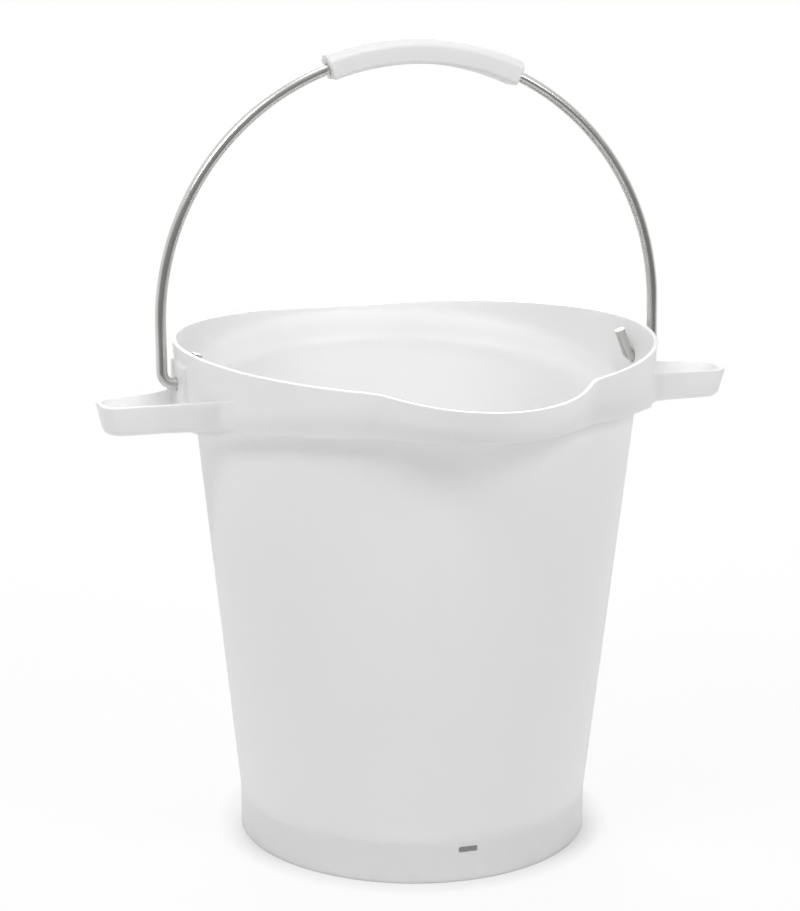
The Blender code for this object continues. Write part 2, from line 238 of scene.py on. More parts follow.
class Field:
    """A number in a node tree that takes plain arithmetic."""

    def __init__(self, tree, socket):
        self.tree = tree
        self.socket = socket

    def math(self, operation, *others):
        node = self.tree.nodes.new("ShaderNodeMath")
        node.operation = operation
        for value, place in zip((self, *others), node.inputs):
            plug(self.tree, value, place)
        return Field(self.tree, node.outputs[0])

    def __add__(self, other):
        return self.math("ADD", other)

    def __sub__(self, other):
        return self.math("SUBTRACT", other)

    def __rsub__(self, other):
        return self.math("MULTIPLY", -1).math("ADD", other)

    def __mul__(self, other):
        return self.math("MULTIPLY", other)

    def __truediv__(self, other):
        return self.math("DIVIDE", other)

    __radd__ = __add__
    __rmul__ = __mul__


def plug(tree, value, place):
    """Gives an input a Field, a socket or a plain value."""
    if isinstance(value, Field):
        value = value.socket
    if isinstance(value, bpy.types.NodeSocket):
        tree.links.new(value, place)
    else:
        place.default_value = value


def cosine(value):
    return value.math("COSINE") if isinstance(value, Field) else cos(value)


def root(value):
    return value.math("SQRT") if isinstance(value, Field) else sqrt(value)


def size_of(value):
    return value.math("ABSOLUTE") if isinstance(value, Field) else abs(value)


def at_most(value, limit):
    return value.math("MINIMUM", limit) if isinstance(value, Field) else min(value, limit)


def bell(angle, half_angle):
    """Smooth hump: 1 at angle 0, falling to 0 at the half angle and beyond."""
    swing = cosine(at_most(size_of(angle) / half_angle, 1.0) * (pi / 2))
    return swing * swing


def spout_share(b, away):
    """Share of the spout's full reach at an angle away from its centre line."""
    swing = cosine(at_most(away / b.spout_half_angle, 2.0) * (pi / 2))
    soft = b.spout_softness * b.spout_softness
    return (swing + 1.0 + root(swing * swing + soft) - root(soft + 1.0)) * 0.5


def brim_height(b, away):
    front = cosine(away)
    dip = b.back_dip * bell(away - pi, b.back_dip_half_angle) + b.spout_dip * spout_share(b, away)
    return b.brim_height - b.brim_sag * front * front - dip


def collar_low(b, away):
    front = cosine(away)
    drop = b.collar_drop * bell(away - pi / 2, b.collar_drop_half_angle)
    return b.collar_low_height + b.collar_low_rise * front * front - drop


def body_radius(b, height):
    share = (height - b.foot_height) / (b.collar_low_height - b.foot_height)
    return b.foot_radius + (b.body_top_radius - b.foot_radius) * share


def collar_radius(b, height, away):
    """Outer radius of the collar between its lower edge and the brim."""
    share = spout_share(b, away)
    low = b.collar_low_radius + b.spout_low_reach * share
    top = b.brim_radius + b.spout_reach * share
    edge = collar_low(b, away)
    return low + (top - low) * ((height - edge) / (brim_height(b, away) - edge))


def bucket_corners(b, away):
    """Half section of the bucket as (radius, height, rounding).

    It runs along the floor, up the inside, over the brim, down the outside and back under the floor.
    """
    share = spout_share(b, away)
    low = collar_low(b, away)
    brim = brim_height(b, away)
    brim_radius = b.brim_radius + b.spout_reach * share
    shoulder_start = low + b.wall * (share + STEP_RISE)
    ledge = low + b.shoulder_rise
    front = cosine(away)
    shoulder_end = ledge + b.shoulder_flare * front * front * (1.0 - share) * (brim - ledge)
    floor_top = b.floor_height + b.floor_thickness
    inner_shoulder = collar_radius(b, shoulder_end, away) - b.collar_wall
    return (
        (floor_top * 0.0, floor_top, 0.0),
        (body_radius(b, floor_top) - b.wall, floor_top, b.floor_fillet),
        (body_radius(b, shoulder_start) - b.wall, shoulder_start, b.shoulder_fillet),
        (inner_shoulder, shoulder_end, b.shoulder_fillet),
        (brim_radius - b.collar_wall, brim, b.brim_round),
        (brim_radius, brim, b.brim_round),
        (collar_radius(b, low, away), low, b.collar_edge_round),
        (body_radius(b, low), low + b.wall * STEP_RISE, b.collar_edge_round),
        (b.foot_radius, b.foot_height, b.foot_blend),
        (b.foot_radius, b.foot_height * 0.0, b.foot_edge_round),
        (b.foot_radius - b.wall, b.foot_height * 0.0, b.foot_edge_round),
        (b.foot_radius - b.wall, b.floor_height, b.foot_edge_round),
        (b.floor_height * 0.0, b.floor_height, 0.0),
    )


def with_supports(corners):
    """Corners with three more points on each run, which keep its shading flat next to the roundings.

    The runs beside the inner shoulder leave room for its wide roundings.
    """
    points = [corners[0]]
    for i, (first, last) in enumerate(zip(corners, corners[1:])):
        run_share = SHOULDER_SUPPORT if i in SHOULDER_RUNS else RUN_SUPPORT
        for share in (run_share, 0.5, 1 - run_share):
            radius = first[0] + (last[0] - first[0]) * share
            height = first[1] + (last[1] - first[1]) * share
            points.append((radius, height, 0.0))
        points.append(last)
    return points


def add_node(tree, kind, **inputs):
    """Node of a tree with some inputs given by name."""
    made = tree.nodes.new(kind)
    for name, value in inputs.items():
        plug(tree, value, made.inputs[name.replace("_", " ")])
    return made


def pick(tree, index, values):
    """Field that takes one of several values by an index."""
    made = tree.nodes.new("GeometryNodeIndexSwitch")
    made.data_type = "FLOAT"
    while len(made.index_switch_items) < len(values):
        made.index_switch_items.new()
    plug(tree, index, made.inputs["Index"])
    for place, value in zip(made.inputs[1:], values):
        plug(tree, value, place)
    return Field(tree, made.outputs[0])


def new_tree(name, sizes):
    """Geometry tree with named size inputs and a material input, and its inputs as Fields."""
    tree = bpy.data.node_groups.new(name, "GeometryNodeTree")
    tree.interface.new_socket("Geometry", in_out="INPUT", socket_type="NodeSocketGeometry")
    tree.interface.new_socket("Geometry", in_out="OUTPUT", socket_type="NodeSocketGeometry")
    for key in sizes:
        tree.interface.new_socket(key, in_out="INPUT", socket_type="NodeSocketFloat")
    tree.interface.new_socket("finish", in_out="INPUT", socket_type="NodeSocketMaterial")
    entry = tree.nodes.new("NodeGroupInput")
    return tree, entry, SimpleNamespace(**{key: Field(tree, entry.outputs[key]) for key in sizes})


def end_tree(tree, entry, geometry):
    """Closes a tree with smooth shading, realised instances and the finish."""
    smooth = add_node(tree, "GeometryNodeSetShadeSmooth", Geometry=geometry)
    real = add_node(tree, "GeometryNodeRealizeInstances", Geometry=smooth.outputs[0])
    finish = add_node(tree, "GeometryNodeSetMaterial", Geometry=real.outputs[0])
    plug(tree, entry.outputs["finish"], finish.inputs["Material"])
    leave = tree.nodes.new("NodeGroupOutput")
    tree.links.new(finish.outputs[0], leave.inputs[0])


def run_tree(obj, tree, sizes, finish):
    """Runs a tree on an object and returns the result as a plain mesh."""
    modifier = obj.modifiers.new(tree.name, "NODES")
    modifier.node_group = tree
    for item in tree.interface.items_tree:
        if item.in_out == "INPUT" and item.name in sizes:
            modifier[item.identifier] = sizes[item.name]
        if item.in_out == "INPUT" and item.name == "finish":
            modifier[item.identifier] = finish
    return plain_mesh(obj)


def plain_mesh(obj):
    """Mesh of an object with its modifiers applied; the object itself is removed."""
    bpy.context.view_layer.update()
    shown = obj.evaluated_get(bpy.context.evaluated_depsgraph_get())
    mesh = bpy.data.meshes.new_from_object(shown)
    bpy.data.objects.remove(obj)
    return mesh


def moulding_tree():
    """Tree of the bucket without handles: rounded half sections round the axis, joined into a skin."""
    tree, entry, b = new_tree("bucket_moulding", BUCKET)
    index = Field(tree, tree.nodes.new("GeometryNodeInputIndex").outputs[0])
    count = len(with_supports(bucket_corners(PLAIN, 0.0)))
    column = (index / count).math("FLOOR")
    turn = column * (2 * pi / COLUMNS)
    away = pi - size_of(turn - pi)
    corners = with_supports(bucket_corners(b, away))
    corner = index - column * count
    radius, height, fillet = (pick(tree, corner, [c[k] for c in corners]) for k in range(3))

    line = tree.nodes.new("GeometryNodeCurvePrimitiveLine")
    points = add_node(tree, "GeometryNodeResampleCurve", Curve=line.outputs[0], Count=count)
    spots = add_node(tree, "GeometryNodeMeshLine", Count=COLUMNS)
    copies = add_node(tree, "GeometryNodeInstanceOnPoints", Points=spots.outputs[0])
    plug(tree, points.outputs[0], copies.inputs["Instance"])
    lines = add_node(tree, "GeometryNodeRealizeInstances", Geometry=copies.outputs[0])
    place = tree.nodes.new("ShaderNodeCombineXYZ")
    plug(tree, radius * turn.math("SINE"), place.inputs[0])
    plug(tree, AXIS_Y - radius * turn.math("COSINE"), place.inputs[1])
    plug(tree, height, place.inputs[2])
    sections = add_node(tree, "GeometryNodeSetPosition", Geometry=lines.outputs[0])
    plug(tree, place.outputs[0], sections.inputs["Position"])
    rounded_sections = tree.nodes.new("GeometryNodeFilletCurve")
    rounded_sections.mode = "POLY"
    plug(tree, sections.outputs[0], rounded_sections.inputs["Curve"])
    plug(tree, fillet, rounded_sections.inputs["Radius"])
    rounded_sections.inputs["Limit Radius"].default_value = True
    rounded_sections.inputs["Count"].default_value = FILLET_STEPS

    tally = tree.nodes.new("GeometryNodeAttributeDomainSize")
    tally.component = "CURVE"
    plug(tree, rounded_sections.outputs[0], tally.inputs[0])
    total = Field(tree, tally.outputs["Point Count"])
    grid = add_node(tree, "GeometryNodeMeshGrid", Vertices_X=COLUMNS + 1, Vertices_Y=total / COLUMNS)
    source = tree.nodes.new("GeometryNodeSampleIndex")
    source.data_type = "FLOAT_VECTOR"
    plug(tree, rounded_sections.outputs[0], source.inputs["Geometry"])
    plug(tree, tree.nodes.new("GeometryNodeInputPosition").outputs[0], source.inputs["Value"])
    plug(tree, index.math("MODULO", total), source.inputs["Index"])
    skin = add_node(tree, "GeometryNodeSetPosition", Geometry=grid.outputs[0])
    plug(tree, source.outputs[0], skin.inputs["Position"])
    closed = add_node(tree, "GeometryNodeMergeByDistance", Geometry=skin.outputs[0], Distance=SEAM_MERGE)
    end_tree(tree, entry, closed.outputs[0])
    return tree


def wire_tree():
    """Tree that sweeps a round section along the bail's line and keeps the run along and round it."""
    sizes = {"wire_radius": WIRE_RADIUS}
    tree, entry, w = new_tree("bail_wire_sweep", sizes)
    run = tree.nodes.new("GeometryNodeSplineParameter")
    store = "GeometryNodeStoreNamedAttribute"
    lined = add_node(tree, store, Geometry=entry.outputs[0], Name="wire_run")
    plug(tree, run.outputs["Length"], lined.inputs["Value"])
    ring = add_node(tree, "GeometryNodeCurvePrimitiveCircle", Resolution=WIRE_SIDES)
    plug(tree, w.wire_radius, ring.inputs["Radius"])
    turned = add_node(tree, store, Geometry=ring.outputs[0], Name="wire_round")
    plug(tree, (Field(tree, run.outputs["Factor"]) * (2 * pi)).math("COSINE"), turned.inputs["Value"])
    radius = tree.nodes.new("GeometryNodeInputRadius")
    swept = add_node(tree, "GeometryNodeCurveToMesh", Curve=lined.outputs[0])
    plug(tree, turned.outputs[0], swept.inputs["Profile Curve"])
    plug(tree, radius.outputs[0], swept.inputs["Scale"])
    swept.inputs["Fill Caps"].default_value = True
    end_tree(tree, entry, swept.outputs[0])
    return tree, sizes


def rounded(corners, steps, closed=False):
    """Outline through corners (a, b, radius), each rounded with an arc of so many steps."""
    points = []
    count = len(corners)
    for i, (a, b, radius) in enumerate(corners):
        corner = Vector((a, b))
        if radius == 0 or (not closed and i in (0, count - 1)):
            points.append(corner)
            continue
        before = Vector(corners[i - 1][:2]) - corner
        after = Vector(corners[(i + 1) % count][:2]) - corner
        half = before.angle(after) / 2
        reach = min(radius / tan(half), ROUND_LIMIT * before.length, ROUND_LIMIT * after.length)
        centre = corner + (before.normalized() + after.normalized()).normalized() * reach / cos(half)
        start = corner + before.normalized() * reach - centre
        end = corner + after.normalized() * reach - centre
        sweep = pi - 2 * half
        for k in range(steps + 1):
            from_start = sin(sweep * (1 - k / steps)) / sin(sweep)
            from_end = sin(sweep * k / steps) / sin(sweep)
            points.append(centre + start * from_start + end * from_end)
    return points


def loft(rings):
    """Closed mesh through rings of equal point count, with a cap on the first and last."""
    mesh = bmesh.new()
    rows = [[mesh.verts.new(point) for point in ring] for ring in rings]
    for row, next_row in zip(rows, rows[1:]):
        for i, vert in enumerate(row):
            j = (i + 1) % len(row)
            mesh.faces.new((vert, row[j], next_row[j], next_row[i]))
    mesh.faces.new(rows[0])
    mesh.faces.new(rows[-1])
    bmesh.ops.recalc_face_normals(mesh, faces=mesh.faces)
    return mesh


def add_object(name, mesh):
    """Object in the scene from a bmesh or a mesh."""
    data = mesh
    if isinstance(mesh, bmesh.types.BMesh):
        data = bpy.data.meshes.new(name)
        mesh.to_mesh(data)
        mesh.free()
    data.name = name
    made = bpy.data.objects.new(name, data)
    bpy.context.scene.collection.objects.link(made)
    return made


def combine(target, operation, *tools):
    """Joins closed tools to a target or cuts them from it, and returns the result as a new object."""
    name = target.name
    for tool in tools:
        boolean = target.modifiers.new(tool.name, "BOOLEAN")
        boolean.operation = operation
        boolean.solver = "EXACT"
        boolean.object = tool
    mesh = plain_mesh(target)
    for tool in tools:
        bpy.data.objects.remove(tool)
    return add_object(name, mesh)


def pad_face():
    return collar_radius(PLAIN, PIVOT.z, pi / 2) + PAD_PROUD


def bail_radius():
    return pad_face() + LEG_CLEARANCE + WIRE_RADIUS


def handle_outline(height, climb, inset, sink):
    """Plan of the +X handle's outer edge at one level, drawn in by an inset.

    It runs from the front root round the tip to the back root.
    """
    front_root = collar_radius(PLAIN, height + climb, pi / 2 - HANDLE_FRONT_ROOT) - sink
    back_height = height + climb * HANDLE_BACK_SHARE
    back_root = collar_radius(PLAIN, back_height, pi / 2 - HANDLE_BACK_ROOT) - sink
    root_x = PLAIN.collar_low_radius + HANDLE_ROOT_REACH
    front = HANDLE_FRONT + inset
    back = HANDLE_BACK - inset
    corners = (
        (front_root * cos(HANDLE_FRONT_ROOT), -front_root * sin(HANDLE_FRONT_ROOT), 0),
        (root_x - inset / 2, front - HANDLE_ROOT_FLARE, HANDLE_ROOT_FILLET),
        (HANDLE_TIP - inset, front, HANDLE_TIP_ROUND),
        (HANDLE_TIP - inset, back, HANDLE_TIP_ROUND),
        (root_x - inset, back + HANDLE_ROOT_FLARE, HANDLE_ROOT_FILLET),
        (back_root * cos(HANDLE_BACK_ROOT), back_root * sin(HANDLE_BACK_ROOT), 0),
    )
    points = rounded(corners, HANDLE_STEPS)
    front_run = [points[0].lerp(points[1], k / ROOT_STEPS) for k in range(ROOT_STEPS)]
    back_run = [points[-2].lerp(points[-1], k / ROOT_STEPS) for k in range(1, ROOT_STEPS + 1)]
    return front_run + points[1:-1] + back_run


def root_share(y):
    """How far a handle's edges have climbed to its roots: 0 along the handle, 1 at the front root."""
    front_seat = -PLAIN.collar_low_radius * sin(HANDLE_FRONT_ROOT)
    back_seat = PLAIN.collar_low_radius * sin(HANDLE_BACK_ROOT)
    ahead = (HANDLE_FRONT - y) / (HANDLE_FRONT - front_seat)
    behind = HANDLE_BACK_SHARE * (y - HANDLE_BACK) / (back_seat - HANDLE_BACK)
    return min(max(ahead, behind, 0), 1)


def handle_solid(name, side, levels, sink):
    """Upright sections carried round a handle's plan, through levels (height, climb to roots, inset).

    The roots end inside the collar's surface by the sink, and the inner face lies a little deeper.
    """
    outlines = [handle_outline(*level, sink) for level in levels]
    sections = []
    for edge in zip(*outlines):
        share = root_share(edge[CLIMB_LEVEL].y)
        section = []
        for (x, y), (height, climb, _) in zip(edge, levels):
            section.append((side * x, AXIS_Y + y, height + climb * share))
        for (_, y), (height, climb, _) in ((edge[-1], levels[-1]), (edge[0], levels[0])):
            turn = pi / 2 - atan2(abs(y), PLAIN.collar_low_radius)
            seat = collar_radius(PLAIN, height + climb * share, turn) - sink - SEAT_SINK
            section.append((side * sqrt(seat ** 2 - y ** 2), AXIS_Y + y, height + climb * share))
        sections.append(section)
    return add_object(name, loft(sections))


def quarter(steps):
    """Sine and cosine round a quarter turn."""
    return [(sin(pi / 2 * k / steps), cos(pi / 2 * k / steps)) for k in range(steps + 1)]


def side_handle(side):
    """Solid side handle with rounded edges, rooted in the collar wall."""
    edge = PLAIN.brim_round
    levels = []
    for s, c in quarter(HANDLE_RIM_STEPS):
        levels.append((HANDLE_TOP - edge * (1 - c), HANDLE_ROOT_RISE, edge * (1 - s)))
    for s, c in quarter(HANDLE_EDGE_STEPS):
        inset = HANDLE_DRAFT + HANDLE_EDGE_ROUND * (1 - c)
        levels.append((HANDLE_LOW + HANDLE_EDGE_ROUND * (1 - s), HANDLE_LOW_RISE, inset))
    return handle_solid("side_handle", side, levels, HANDLE_SINK)


def handle_dish(side):
    """Cutter that hollows a side handle from above, with an eased rim and a rounded floor."""
    edge = PLAIN.brim_round
    levels = [(HANDLE_TOP + edge, HANDLE_ROOT_RISE, DISH_WALL - edge)]
    for s, c in quarter(HANDLE_RIM_STEPS):
        levels.append((HANDLE_TOP - edge * (1 - c), HANDLE_ROOT_RISE, DISH_WALL - edge * (1 - s)))
    floor = HANDLE_LOW + DISH_FLOOR
    for s, c in quarter(DISH_STEPS):
        inset = DISH_WALL + HANDLE_DRAFT + DISH_FILLET * (1 - c)
        levels.append((floor + DISH_FILLET * (1 - s), HANDLE_LOW_RISE, inset))
    return handle_solid("handle_dish", side, levels, HANDLE_SINK + DISH_WALL)


def box(low, high):
    mesh = bmesh.new()
    bmesh.ops.create_cube(mesh, size=1)
    size = Vector(high) - Vector(low)
    bmesh.ops.scale(mesh, vec=size, verts=mesh.verts)
    bmesh.ops.translate(mesh, vec=Vector(low) + size / 2, verts=mesh.verts)
    return mesh


def round_edges(mesh, edges, radius, steps):
    bmesh.ops.bevel(mesh, geom=edges, offset=radius, segments=steps, profile=0.5, affect="EDGES")


def pivot_pad(side):
    """Thick pad on the collar that carries one end of the bail, with rounded edges."""
    wall_middle = pad_face() - PAD_PROUD - PLAIN.collar_wall / 2
    inner = sqrt(wall_middle ** 2 - PAD_HALF_WIDTH ** 2)
    ends = sorted((side * inner, side * pad_face()))
    low = HANDLE_LOW + DISH_FLOOR / 2
    mesh = box((ends[0], AXIS_Y - PAD_HALF_WIDTH, low), (ends[1], AXIS_Y + PAD_HALF_WIDTH, PAD_TOP))
    round_edges(mesh, mesh.edges[:], PAD_ROUND, PAD_STEPS)
    return add_object("pivot_pad", mesh)


def pivot_bore():
    """Cutter along the pivot axis, through both pads."""
    mesh = bmesh.new()
    radius = WIRE_RADIUS + PIVOT_CLEARANCE
    reach = 2 * (pad_face() + PAD_PROUD)
    turn = Matrix.Translation(PIVOT) @ Matrix.Rotation(pi / 2, 4, "Y")
    bmesh.ops.create_cone(
        mesh, cap_ends=True, segments=BORE_SIDES, radius1=radius, radius2=radius, depth=reach, matrix=turn)
    return add_object("pivot_bore", mesh)


def drain_slots():
    """Cutter for the drain slots in the foot, front and back, with rounded corners."""
    low = SLOT_CENTRE_HEIGHT - SLOT_HEIGHT / 2
    reach = 2 * PLAIN.foot_radius
    half = SLOT_WIDTH / 2
    mesh = box((-half, AXIS_Y - reach, low), (half, AXIS_Y + reach, low + SLOT_HEIGHT))
    long_edges = [edge for edge in mesh.edges if edge.calc_length() > reach]
    round_edges(mesh, long_edges, SLOT_CORNER, SLOT_STEPS)
    return add_object("drain_slots", mesh)


def set_edges(obj, sharp_angle):
    """Smooth shading that stays crisp on real edges, with normals led by the larger faces."""
    obj.data.shade_smooth()
    obj.data.set_sharp_from_angle(angle=sharp_angle)
    weight = obj.modifiers.new("face_led_normals", "WEIGHTED_NORMAL")
    weight.keep_sharp = True
    name = obj.name
    return add_object(name, plain_mesh(obj))


def bucket_moulding(finish):
    """The whole white moulding, in one skin."""
    start = add_object("bucket_moulding", bpy.data.meshes.new("start"))
    mesh = run_tree(start, moulding_tree(), BUCKET, finish)
    work = bmesh.new()
    work.from_mesh(mesh)
    bmesh.ops.recalc_face_normals(work, faces=work.faces)
    work.to_mesh(mesh)
    work.free()
    bucket = add_object("bucket_moulding", mesh)
    for side in (-1, 1):
        handle = combine(side_handle(side), "DIFFERENCE", handle_dish(side))
        handle = combine(handle, "UNION", pivot_pad(side))
        bucket = combine(bucket, "UNION", handle)
    bucket = combine(bucket, "DIFFERENCE", pivot_bore(), drain_slots())
    bucket.data.materials.clear()
    bucket.data.materials.append(finish)
    return set_edges(bucket, MOULDING_SHARP)


def bail_line():
    """Centre line of the bail in its own plane, (X, height above the pivot), from hook to hook."""
    hook = pad_face() - PAD_PROUD - PLAIN.collar_wall - HOOK_SETBACK
    radius = bail_radius()
    half = rounded((
        (hook - HOOK_LENGTH * sin(HOOK_LEAN), HOOK_LENGTH * cos(HOOK_LEAN), 0),
        (hook, 0, HOOK_BEND),
        (radius, 0, BAIL_BEND),
        (radius, BAIL_ARC_RISE, 0),
    ), BEND_STEPS)
    line = list(half)
    for k in range(1, BAIL_STEPS):
        angle = pi * k / BAIL_STEPS
        line.append(Vector((radius * cos(angle), BAIL_ARC_RISE + radius * sin(angle))))
    line += [Vector((-x, z)) for x, z in reversed(half)]
    return line


def bail_place():
    """Place of the bail's own plane in the part."""
    return Matrix.Translation(PIVOT) @ Matrix.Rotation(-BAIL_LEAN, 4, "X")


def bail_wire(finish):
    """Bent wire with its cut ends eased."""
    line = bail_line()
    eased = []
    for end, after in ((line[0], line[1]), (line[-1], line[-2])):
        run = (after - end).normalized() * WIRE_CUT_ROUND
        eased.append([end + run * (1 - c) for s, c in quarter(END_STEPS)[1:]])
    points = [line[0], *eased[0], *line[1:-1], *reversed(eased[1]), line[-1]]
    full = WIRE_CUT_ROUND / WIRE_RADIUS
    ends = [1 - full * (1 - s) for s, c in quarter(END_STEPS)]
    shares = ends + [1.0] * (len(points) - 2 * len(ends)) + ends[::-1]
    curve = bpy.data.curves.new("bail_wire", "CURVE")
    curve.dimensions = "3D"
    spline = curve.splines.new("POLY")
    spline.points.add(len(points) - 1)
    for point, (x, z), share in zip(spline.points, points, shares):
        point.co = (x, 0, z, 1)
        point.radius = share
    guide = bpy.data.objects.new("bail_wire_line", curve)
    bpy.context.scene.collection.objects.link(guide)
    tree, sizes = wire_tree()
    mesh = run_tree(guide, tree, sizes, finish)
    mesh.transform(bail_place())
    wire = add_object("drawn_bail", mesh)
    mesh.set_sharp_from_angle(angle=WIRE_SHARP)
    return wire


def grip_outline():
    """Section of the grip: flat underside and sides under a crowned top."""
    half = GRIP_DEPTH / 2
    corners = (
        (-GRIP_BELOW, -half, GRIP_ROUND),
        (-GRIP_BELOW, half, GRIP_ROUND),
        (GRIP_SIDE, half, GRIP_ROUND),
        (GRIP_CROWN, 0, GRIP_CROWN_ROUND),
        (GRIP_SIDE, -half, GRIP_ROUND),
    )
    return rounded(corners, GRIP_ROUND_STEPS, closed=True)


def on_arc(out, along, angle):
    """Point of the bail's plane at a distance out from its arc and an angle from the top."""
    away = bail_radius() + out
    return away * sin(angle), along, BAIL_ARC_RISE + away * cos(angle)


def bail_grip(finish):
    """Moulded grip with eased ends and a clear way for the wire."""
    radius = bail_radius()
    start = (GRIP_SHIFT - GRIP_LENGTH / 2) / radius
    end = (GRIP_SHIFT + GRIP_LENGTH / 2) / radius
    ease = GRIP_END_ROUND / radius
    eased = [(ease * (1 - c), GRIP_END_ROUND * (1 - s)) for s, c in quarter(END_STEPS)]
    stations = [(start + run, inset) for run, inset in eased]
    for k in range(1, GRIP_STEPS):
        stations.append((start + ease + (end - start - 2 * ease) * k / GRIP_STEPS, 0))
    stations += [(end - run, inset) for run, inset in reversed(eased)]
    outline = grip_outline()
    rings = []
    for angle, inset in stations:
        out_share = 1 - inset / GRIP_CROWN
        along_share = 1 - 2 * inset / GRIP_DEPTH
        rings.append([on_arc(out * out_share, along * along_share, angle) for out, along in outline])
    bore = WIRE_RADIUS + GRIP_CLEARANCE
    margin = GRIP_ROUND / radius
    turns = [2 * pi * j / WIRE_SIDES for j in range(WIRE_SIDES)]
    way = []
    for k in range(GRIP_STEPS + 1):
        angle = start - margin + (end - start + 2 * margin) * k / GRIP_STEPS
        way.append([on_arc(bore * cos(turn), bore * sin(turn), angle) for turn in turns])
    wire_way = add_object("wire_way", loft(way))
    grip = combine(add_object("moulded_grip", loft(rings)), "DIFFERENCE", wire_way)
    grip.data.transform(bail_place())
    grip.data.materials.clear()
    grip.data.materials.append(finish)
    return set_edges(grip, GRIP_SHARP)


def new_finish(name):
    """Empty node material with its shader."""
    made = bpy.data.materials.new(name)
    made.use_nodes = True
    return made, made.node_tree, made.node_tree.nodes["Principled BSDF"]


def noise(tree, where, scale, detail=2.0, roughness=0.5):
    made = add_node(tree, "ShaderNodeTexNoise", Vector=where, Scale=scale)
    made.inputs["Detail"].default_value = detail
    made.inputs["Roughness"].default_value = roughness
    return Field(tree, made.outputs["Fac"])


def spread(tree, value, low, high, start=NOISE_LOW, end=NOISE_HIGH):
    """Spreads the part of a value between a start and an end over a range from low to high."""
    made = add_node(tree, "ShaderNodeMapRange", Value=value, From_Min=start, From_Max=end)
    made.inputs["To Min"].default_value = low
    made.inputs["To Max"].default_value = high
    return Field(tree, made.outputs[0])


def blend_colour(tree, share, first, last):
    """Colour between two colours or colour sockets by a share from 0 to 1."""
    mix = tree.nodes.new("ShaderNodeMix")
    mix.data_type = "RGBA"
    plug(tree, share, mix.inputs["Factor"])
    plug(tree, first, mix.inputs["A"])
    plug(tree, last, mix.inputs["B"])
    return mix.outputs["Result"]


def grey(tone):
    return (tone, tone, tone, 1.0)


def satin_white(name, roughness):
    """Satin white moulded plastic: faint upright flow streaks in its tone, fine texture in its gloss.

    The foot carries painted shade: a little greyer in patches up to a set height, darker towards the
    bottom, and duller there as if scuffed.
    """
    made, tree, shader = new_finish(name)
    where = tree.nodes.new("ShaderNodeTexCoord").outputs["Object"]
    upright = add_node(tree, "ShaderNodeMapping", Vector=where, Scale=FLOW_STRETCH).outputs[0]
    clouds = noise(tree, where, CLOUD_SCALE, detail=3.0)
    flow = (clouds + noise(tree, upright, 1.0, detail=3.0)) * 0.5
    tones = [grey(PLASTIC_TONE + swing) for swing in (-PLASTIC_SWING, PLASTIC_SWING)]
    flow_tone = blend_colour(tree, spread(tree, flow, 0.0, 1.0), *tones)
    # Painted shade: the tone darkens in patches towards the bottom of the foot; the same patches dull the
    # gloss as if scuffed
    low = spread(tree, split(tree, where)[2], 1.0, 0.0, 0.0, SHADE_AND_SCUFF_HEIGHT)
    patches = noise(tree, where, SHADE_AND_SCUFF_SCALE, detail=4.0, roughness=0.6)
    shade_and_scuffs = low * spread(tree, patches, 0.0, 1.0, *SHADE_AND_SCUFF_SPREAD)
    tone = blend_colour(tree, shade_and_scuffs, flow_tone, grey(PLASTIC_TONE - FOOT_SHADE_TONE))
    plug(tree, tone, shader.inputs["Base Color"])
    grain = noise(tree, where, GRAIN_SCALE)
    gloss = spread(tree, grain, roughness - GRAIN_SWING, roughness + GRAIN_SWING)
    plug(tree, gloss + shade_and_scuffs * SCUFF_DULLING, shader.inputs["Roughness"])
    bump = add_node(tree, "ShaderNodeBump", Strength=GRAIN_STRENGTH, Distance=GRAIN_DEPTH, Height=grain)
    plug(tree, bump.outputs[0], shader.inputs["Normal"])
    shader.inputs["IOR"].default_value = PLASTIC_IOR
    shader.inputs["Subsurface Weight"].default_value = 1.0
    shader.inputs["Subsurface Radius"].default_value = (1.0, 1.0, 1.0)
    shader.inputs["Subsurface Scale"].default_value = LIGHT_DEPTH
    return made


def drawn_steel():
    """Bright drawn stainless wire: fine draw lines along its run, slightly uneven gloss."""
    made, tree, shader = new_finish("drawn_stainless")
    place = tree.nodes.new("ShaderNodeCombineXYZ")
    for name, stretch, socket in (("wire_round", LINES_ROUND, 0), ("wire_run", LINES_ALONG, 1)):
        value = add_node(tree, "ShaderNodeAttribute")
        value.attribute_name = name
        plug(tree, Field(tree, value.outputs["Fac"]) * stretch, place.inputs[socket])
    lines = noise(tree, place.outputs[0], 1.0, detail=4.0, roughness=0.6)
    where = tree.nodes.new("ShaderNodeTexCoord").outputs["Object"]
    patches = spread(tree, noise(tree, where, PATCH_SCALE, detail=3.0), 0.0, 1.0)
    plug(tree, blend_colour(tree, patches, STEEL_DARK, STEEL_LIGHT), shader.inputs["Base Color"])
    plug(tree, spread(tree, lines, *STEEL_GLOSS), shader.inputs["Roughness"])
    bump = add_node(tree, "ShaderNodeBump", Strength=LINE_STRENGTH, Distance=LINE_DEPTH, Height=lines)
    plug(tree, bump.outputs[0], shader.inputs["Normal"])
    shader.inputs["Metallic"].default_value = 1.0
    return made


def add_camera():
    """Camera at the photograph's viewpoint."""
    data = bpy.data.cameras.new("photo_view")
    data.sensor_width = SENSOR_WIDTH
    data.lens = LENS
    data.clip_end = VIEW_END
    made = bpy.data.objects.new("photo_view", data)
    bpy.context.scene.collection.objects.link(made)
    turn = Matrix.Rotation(-CAMERA_TURN, 4, "Z")
    stand = Matrix.Translation((-CAMERA_ASIDE, -CAMERA_DISTANCE, CAMERA_HEIGHT))
    tilt = Matrix.Rotation(pi / 2 - CAMERA_TILT, 4, "X")
    roll = Matrix.Rotation(CAMERA_ROLL, 4, "Z")
    made.matrix_world = Matrix.Translation((0, AXIS_Y, 0)) @ turn @ stand @ tilt @ roll
    bpy.context.scene.camera = made


